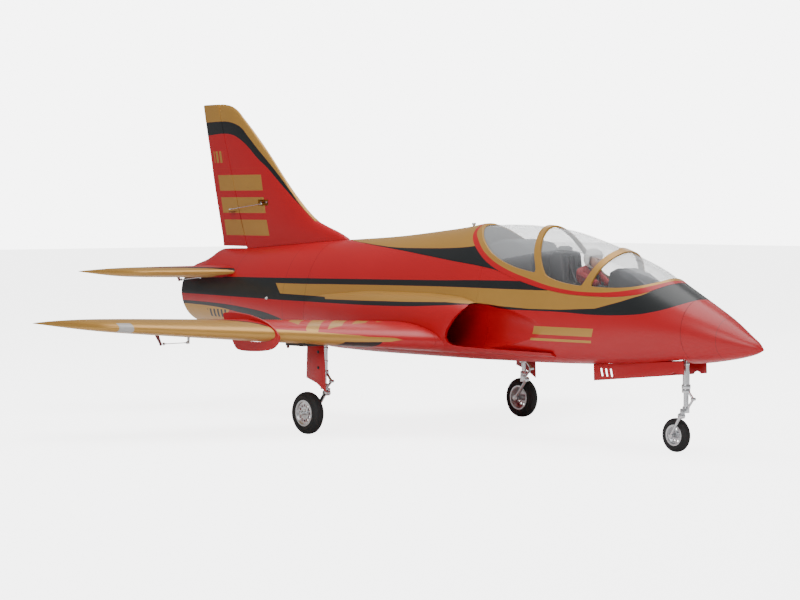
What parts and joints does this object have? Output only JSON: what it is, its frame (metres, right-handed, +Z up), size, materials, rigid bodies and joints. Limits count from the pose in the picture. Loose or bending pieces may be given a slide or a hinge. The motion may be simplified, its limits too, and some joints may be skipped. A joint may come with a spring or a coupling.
{
  "type": "radio-controlled jet plane",
  "caption": "Ducted-fan model jet with swept wings, bubble canopy with pilot, side intakes, tall fin and a retracting tricycle undercarriage with trailing-arm legs.",
  "frame": {"origin": "on the ground, under the middle of the object's box", "axes": "+X to the nose, +Y to the left wing, +Z up"},
  "size_m": [1.456, 1.212, 0.572],
  "materials": {
    "red_skin": "satin painted foam",
    "gold_skin": "satin painted foam",
    "glazing": "clear moulded bubble",
    "cockpit_grey": "matt",
    "pilot_paint": "painted",
    "bare_metal": "machined",
    "rim_metal": "turned",
    "tyre_rubber": "soft rubber",
    "carbon": "carbon tube",
    "black_plastic": "moulded",
    "white_plastic": "moulded nylon",
    "clear_tube": "thin sheet",
    "battery_wrap": "shrink wrap"
  },
  "bodies": {
    "airframe": {"nose_cone": "red_skin", "forward_fuselage": "red_skin", "centre_fuselage": "red_skin", "rear_fuselage": "red_skin", "tail_fin": "red_skin", "left_wing": "red_skin", "right_wing": "red_skin", "wing_spar": "carbon", "left_wing_fence": "red_skin", "right_wing_fence": "red_skin", "left_stabiliser": "red_skin", "right_stabiliser": "red_skin", "left_retract_unit": "black_plastic", "right_retract_unit": "black_plastic", "nose_retract_unit": "black_plastic", "fan_housing": "black_plastic", "fan_motor": "bare_metal", "thrust_tube": "clear_tube", "battery_pack": "battery_wrap", "control_box": "black_plastic"},
    "hatch": {"canopy_hatch": "gold_skin", "canopy_glass": "glazing", "cockpit_tub": "cockpit_grey", "pilot": "pilot_paint"},
    "latch": {"hatch_latch": "bare_metal"},
    "rudder": {"rudder": "red_skin"},
    "rudder_arm": {"rudder_servo_arm": "white_plastic"},
    "rudder_rod": {"rudder_pushrod": "bare_metal"},
    "nose_leg": {"nose_leg": "bare_metal"},
    "nose_strut": {"nose_steering_strut": "bare_metal"},
    "nose_arm": {"nose_trailing_arm": "bare_metal"},
    "nose_wheel": {"nose_rim": "rim_metal", "nose_tyre": "tyre_rubber"},
    "fan": {"fan_rotor": "black_plastic"},
    "left_aileron": {"left_aileron": "gold_skin"},
    "left_aileron_arm": {"left_aileron_servo_arm": "white_plastic"},
    "left_aileron_rod": {"left_aileron_pushrod": "bare_metal"},
    "left_flap": {"left_flap": "red_skin"},
    "left_elevator": {"left_elevator": "red_skin"},
    "left_elevator_arm": {"left_elevator_servo_arm": "white_plastic"},
    "left_elevator_rod": {"left_elevator_pushrod": "bare_metal"},
    "left_leg": {"left_main_leg": "bare_metal", "left_leg_door": "red_skin"},
    "left_arm": {"left_trailing_arm": "bare_metal"},
    "left_wheel": {"left_main_rim": "rim_metal", "left_main_tyre": "tyre_rubber"},
    "left_nose_door": {"left_nose_door": "red_skin"},
    "right_aileron": {"right_aileron": "gold_skin"},
    "right_aileron_arm": {"right_aileron_servo_arm": "white_plastic"},
    "right_aileron_rod": {"right_aileron_pushrod": "bare_metal"},
    "right_flap": {"right_flap": "red_skin"},
    "right_elevator": {"right_elevator": "red_skin"},
    "right_elevator_arm": {"right_elevator_servo_arm": "white_plastic"},
    "right_elevator_rod": {"right_elevator_pushrod": "bare_metal"},
    "right_leg": {"right_main_leg": "bare_metal", "right_leg_door": "red_skin"},
    "right_arm": {"right_trailing_arm": "bare_metal"},
    "right_wheel": {"right_main_rim": "rim_metal", "right_main_tyre": "tyre_rubber"},
    "right_nose_door": {"right_nose_door": "red_skin"}
  },
  "joints": [
    {"name": "left_aileron_hinge", "type": "hinge", "parent": "airframe", "child": "left_aileron", "pos_m": [-0.17838, 0.353, 0.17478], "axis": [-0.2852, 0.9571, 0.051], "range_deg": [-20, 20]},
    {"name": "right_aileron_hinge", "type": "hinge", "parent": "airframe", "child": "right_aileron", "pos_m": [-0.17838, -0.353, 0.17478], "axis": [0.2852, 0.9571, -0.051], "range_deg": [-20, 20]},
    {"name": "left_aileron_arm_pivot", "type": "hinge", "parent": "airframe", "child": "left_aileron_arm", "pos_m": [-0.132, 0.43, 0.172], "axis": [0, 1, 0], "range_deg": [-35, 35]},
    {"name": "left_aileron_rod_pivot", "type": "hinge", "parent": "left_aileron_arm", "child": "left_aileron_rod", "pos_m": [-0.132, 0.4329, 0.156], "axis": [0, 1, 0], "range_deg": [-35, 35]},
    {"name": "right_aileron_arm_pivot", "type": "hinge", "parent": "airframe", "child": "right_aileron_arm", "pos_m": [-0.132, -0.43, 0.172], "axis": [0, 1, 0], "range_deg": [-35, 35]},
    {"name": "right_aileron_rod_pivot", "type": "hinge", "parent": "right_aileron_arm", "child": "right_aileron_rod", "pos_m": [-0.132, -0.4329, 0.156], "axis": [0, 1, 0], "range_deg": [-35, 35]},
    {"name": "left_flap_hinge", "type": "hinge", "parent": "airframe", "child": "left_flap", "pos_m": [-0.11117, 0.124, 0.15075], "axis": [0.2811, -0.9578, -0.06], "range_deg": [0, 40]},
    {"name": "right_flap_hinge", "type": "hinge", "parent": "airframe", "child": "right_flap", "pos_m": [-0.11117, -0.124, 0.15075], "axis": [-0.2811, -0.9578, 0.06], "range_deg": [0, 40]},
    {"name": "left_elevator_hinge", "type": "hinge", "parent": "airframe", "child": "left_elevator", "pos_m": [-0.63154, 0.064, 0.257], "axis": [-0.2607, 0.9654, 0], "range_deg": [-18, 18]},
    {"name": "right_elevator_hinge", "type": "hinge", "parent": "airframe", "child": "right_elevator", "pos_m": [-0.63154, -0.064, 0.257], "axis": [0.2607, 0.9654, 0], "range_deg": [-18, 18]},
    {"name": "left_elevator_arm_pivot", "type": "hinge", "parent": "airframe", "child": "left_elevator_arm", "pos_m": [-0.576, 0.076, 0.259], "axis": [0, 1, 0], "range_deg": [-23.4, 23.4]},
    {"name": "left_elevator_rod_pivot", "type": "hinge", "parent": "left_elevator_arm", "child": "left_elevator_rod", "pos_m": [-0.576, 0.0789, 0.246], "axis": [0, 1, 0], "range_deg": [-23.4, 23.4]},
    {"name": "right_elevator_arm_pivot", "type": "hinge", "parent": "airframe", "child": "right_elevator_arm", "pos_m": [-0.576, -0.076, 0.259], "axis": [0, 1, 0], "range_deg": [-23.4, 23.4]},
    {"name": "right_elevator_rod_pivot", "type": "hinge", "parent": "right_elevator_arm", "child": "right_elevator_rod", "pos_m": [-0.576, -0.0789, 0.246], "axis": [0, 1, 0], "range_deg": [-23.4, 23.4]},
    {"name": "rudder_hinge", "type": "hinge", "parent": "airframe", "child": "rudder", "pos_m": [-0.5305, 0, 0.3035], "axis": [-0.3176, 0, 0.9482], "range_deg": [-20, 20]},
    {"name": "rudder_arm_pivot", "type": "hinge", "parent": "airframe", "child": "rudder_arm", "pos_m": [-0.474, -0.001, 0.386], "axis": [0, 0, 1], "range_deg": [-28, 28]},
    {"name": "rudder_rod_pivot", "type": "hinge", "parent": "rudder_arm", "child": "rudder_rod", "pos_m": [-0.474, -0.013, 0.3831], "axis": [0, 0, 1], "range_deg": [-28, 28]},
    {"name": "left_leg_retract", "type": "hinge", "parent": "airframe", "child": "left_leg", "pos_m": [-0.025, 0.23, 0.164], "axis": [-1, 0, 0], "range_deg": [0, 90]},
    {"name": "right_leg_retract", "type": "hinge", "parent": "airframe", "child": "right_leg", "pos_m": [-0.025, -0.23, 0.164], "axis": [1, 0, 0], "range_deg": [0, 90]},
    {"name": "nose_leg_retract", "type": "hinge", "parent": "airframe", "child": "nose_leg", "pos_m": [0.573, 0, 0.166], "axis": [0, 1, 0], "range_deg": [0, 86]},
    {"name": "left_arm_spring", "type": "hinge", "parent": "left_leg", "child": "left_arm", "pos_m": [-0.02, 0.23, 0.07], "axis": [0, 1, 0], "range_deg": [0, 12], "stiffness_Nm_per_rad": 0.5, "springref_deg": -57.3},
    {"name": "left_wheel_spin", "type": "hinge", "parent": "left_arm", "child": "left_wheel", "pos_m": [-0.048, 0.247, 0.0355], "axis": [0, 1, 0], "continuous": true},
    {"name": "right_arm_spring", "type": "hinge", "parent": "right_leg", "child": "right_arm", "pos_m": [-0.02, -0.23, 0.07], "axis": [0, 1, 0], "range_deg": [0, 12], "stiffness_Nm_per_rad": 0.5, "springref_deg": -57.3},
    {"name": "right_wheel_spin", "type": "hinge", "parent": "right_arm", "child": "right_wheel", "pos_m": [-0.048, -0.247, 0.0355], "axis": [0, 1, 0], "continuous": true},
    {"name": "nose_steering", "type": "hinge", "parent": "nose_leg", "child": "nose_strut", "pos_m": [0.573, 0, 0.08], "axis": [0, 0, 1], "range_deg": [-25, 25]},
    {"name": "nose_arm_spring", "type": "hinge", "parent": "nose_strut", "child": "nose_arm", "pos_m": [0.573, -0.0115, 0.058], "axis": [0, 1, 0], "range_deg": [0, 12], "stiffness_Nm_per_rad": 0.3, "springref_deg": -57.3},
    {"name": "nose_wheel_spin", "type": "hinge", "parent": "nose_arm", "child": "nose_wheel", "pos_m": [0.553, 0, 0.0265], "axis": [0, 1, 0], "continuous": true},
    {"name": "left_nose_door_hinge", "type": "hinge", "parent": "airframe", "child": "left_nose_door", "pos_m": [0.4, 0.027, 0.13], "axis": [-0.9975, 0, -0.0705], "range_deg": [0, 90]},
    {"name": "right_nose_door_hinge", "type": "hinge", "parent": "airframe", "child": "right_nose_door", "pos_m": [0.4, -0.027, 0.13], "axis": [0.9975, 0, 0.0705], "range_deg": [0, 90]},
    {"name": "hatch_lift", "type": "slide", "parent": "airframe", "child": "hatch", "axis": [0, 0, 1], "range_m": [0, 0.12]},
    {"name": "latch_slide", "type": "slide", "parent": "hatch", "child": "latch", "axis": [-1, 0, 0], "range_m": [0, 0.003], "stiffness_N_per_m": 200},
    {"name": "fan_spin", "type": "hinge", "parent": "airframe", "child": "fan", "pos_m": [-0.218, 0, 0.215], "axis": [1, 0, 0], "continuous": true}
  ],
  "couplings": [
    {"joint": "right_aileron_hinge", "follows": "left_aileron_hinge", "ratio": -1},
    {"joint": "left_aileron_arm_pivot", "follows": "left_aileron_hinge", "ratio": 1.75},
    {"joint": "left_aileron_rod_pivot", "follows": "left_aileron_hinge", "ratio": -1.75},
    {"joint": "right_aileron_arm_pivot", "follows": "left_aileron_hinge", "ratio": -1.75},
    {"joint": "right_aileron_rod_pivot", "follows": "left_aileron_hinge", "ratio": 1.75},
    {"joint": "right_flap_hinge", "follows": "left_flap_hinge", "ratio": 1},
    {"joint": "right_elevator_hinge", "follows": "left_elevator_hinge", "ratio": 1},
    {"joint": "left_elevator_arm_pivot", "follows": "left_elevator_hinge", "ratio": 1.3},
    {"joint": "left_elevator_rod_pivot", "follows": "left_elevator_hinge", "ratio": -1.3},
    {"joint": "right_elevator_arm_pivot", "follows": "left_elevator_hinge", "ratio": 1.3},
    {"joint": "right_elevator_rod_pivot", "follows": "left_elevator_hinge", "ratio": -1.3},
    {"joint": "rudder_arm_pivot", "follows": "rudder_hinge", "ratio": 1.4},
    {"joint": "rudder_rod_pivot", "follows": "rudder_hinge", "ratio": -1.4},
    {"joint": "right_leg_retract", "follows": "left_leg_retract", "ratio": 1},
    {"joint": "nose_leg_retract", "follows": "left_leg_retract", "ratio": 0.9555},
    {"joint": "right_nose_door_hinge", "follows": "left_nose_door_hinge", "ratio": 1}
  ]
}
